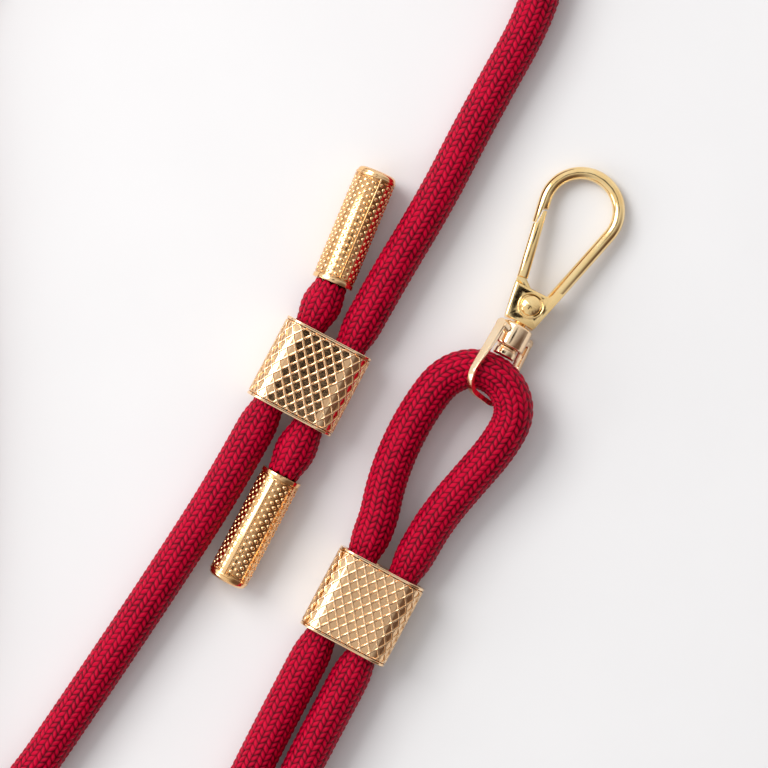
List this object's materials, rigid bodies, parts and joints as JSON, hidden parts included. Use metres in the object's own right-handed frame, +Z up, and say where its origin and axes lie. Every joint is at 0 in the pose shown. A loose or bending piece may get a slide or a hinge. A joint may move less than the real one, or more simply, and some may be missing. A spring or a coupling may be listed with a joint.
{
  "type": "adjustable cord lanyard with a swivel snap hook",
  "caption": "Neck lanyard of thick round braided cord with capped ends, an adjuster slider, a keeper slider and a swivel snap hook on the bight.",
  "frame": {"origin": "on the table, under the middle of the metal parts' box", "axes": "+Z up off the table, +Y along the longest side of the metal parts' box, the line of the lanyard 28 degrees from +Y towards +X"},
  "size_m": [0.1568, 0.2634, 0.0129],
  "materials": {
    "cord": "braided polyester, soft sheen",
    "ferrule_gold": "polished, scale pattern",
    "slider_gold": "polished pale gold, raised lattice",
    "eye_gold": "polished pale rose gold",
    "hook_gold": "polished yellow gold",
    "spring_steel": "bright spring wire"
  },
  "bodies": {
    "cord": {"cord_adjuster_run": "cord", "cord_bight": "cord", "cord_neck_run": "cord", "ferrule_upper": "ferrule_gold", "ferrule_lower": "ferrule_gold"},
    "adjuster": {"adjuster_slider": "slider_gold"},
    "keeper": {"keeper_slider": "slider_gold"},
    "eye": {"swivel_eye": "eye_gold"},
    "hook": {"hook_frame": "hook_gold", "swivel_rivet": "eye_gold", "gate_rivet": "hook_gold", "gate_spring": "spring_steel"},
    "gate": {"gate": "hook_gold"}
  },
  "joints": [
    {"name": "adjuster_slide", "type": "slide", "parent": "cord", "child": "adjuster", "axis": [0.4695, 0.8829, 0], "range_m": [-0.0085, 0.007]},
    {"name": "keeper_slide", "type": "slide", "parent": "cord", "child": "keeper", "axis": [0.4695, 0.8829, 0], "range_m": [-0.02, 0.003]},
    {"name": "eye_swing", "type": "hinge", "parent": "cord", "child": "eye", "pos_m": [0.01475, 0.00846, 0.00653], "axis": [0.8829, -0.4695, 0], "range_deg": [0, 15]},
    {"name": "hook_swivel", "type": "hinge", "parent": "eye", "child": "hook", "pos_m": [0.01846, 0.01544, 0.00566], "axis": [0.4666, 0.8776, -0.1097], "continuous": true},
    {"name": "gate_pivot", "type": "hinge", "parent": "hook", "child": "gate", "pos_m": [0.02245, 0.02237, 0.00478], "axis": [-0.0515, -0.0969, -0.994], "range_deg": [0, 25], "stiffness_Nm_per_rad": 0.05, "springref_deg": -20.05, "deforming": ["gate_spring"]}
  ]
}
